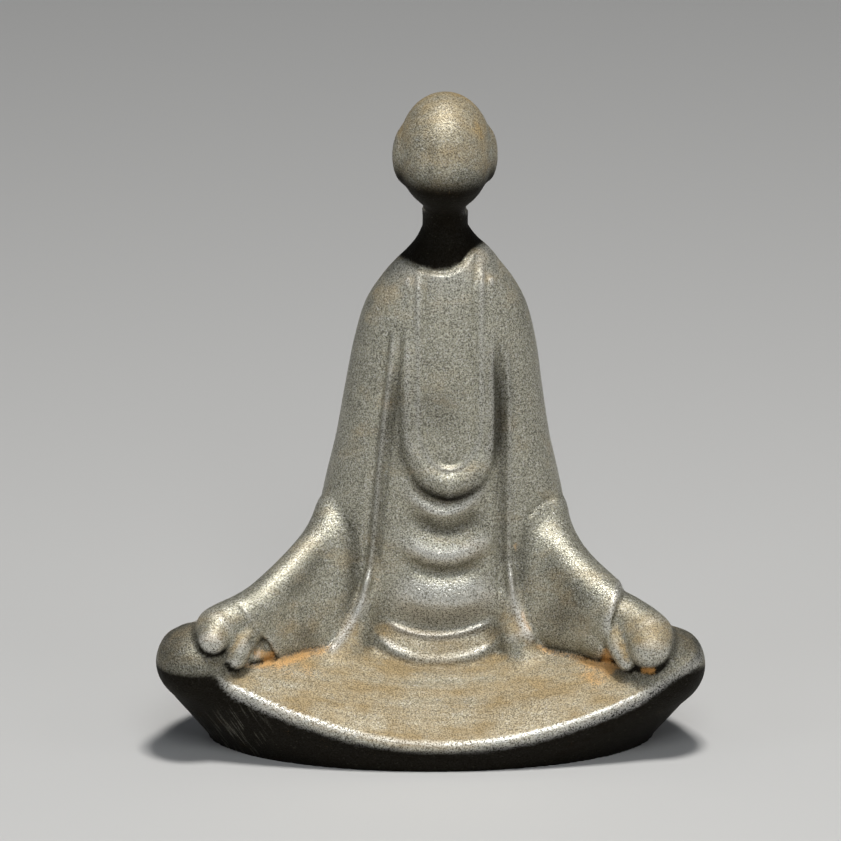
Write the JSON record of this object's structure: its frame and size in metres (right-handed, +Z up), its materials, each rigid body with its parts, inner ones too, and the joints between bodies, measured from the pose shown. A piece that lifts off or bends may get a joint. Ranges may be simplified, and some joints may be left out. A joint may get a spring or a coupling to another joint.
{
  "type": "seated figure in meditation",
  "caption": "Small cast figure seated in meditation: smooth head without features, robe with wide sleeves, hands on the raised knees, boat-shaped lap on a flat foot.",
  "frame": {"origin": "middle of the bounding box on the flat underside, where the figure stands", "axes": "+Z up, -Y the way the figure faces, +X to the figure's left"},
  "size_m": [0.0822, 0.0404, 0.1],
  "materials": {
    "cast_iron": "dark olive brown casting skin, fine speckle, ochre dust on what faces up and rust in the creases"
  },
  "bodies": {
    "root": {"seated_figure": "cast_iron"}
  },
  "joints": []
}
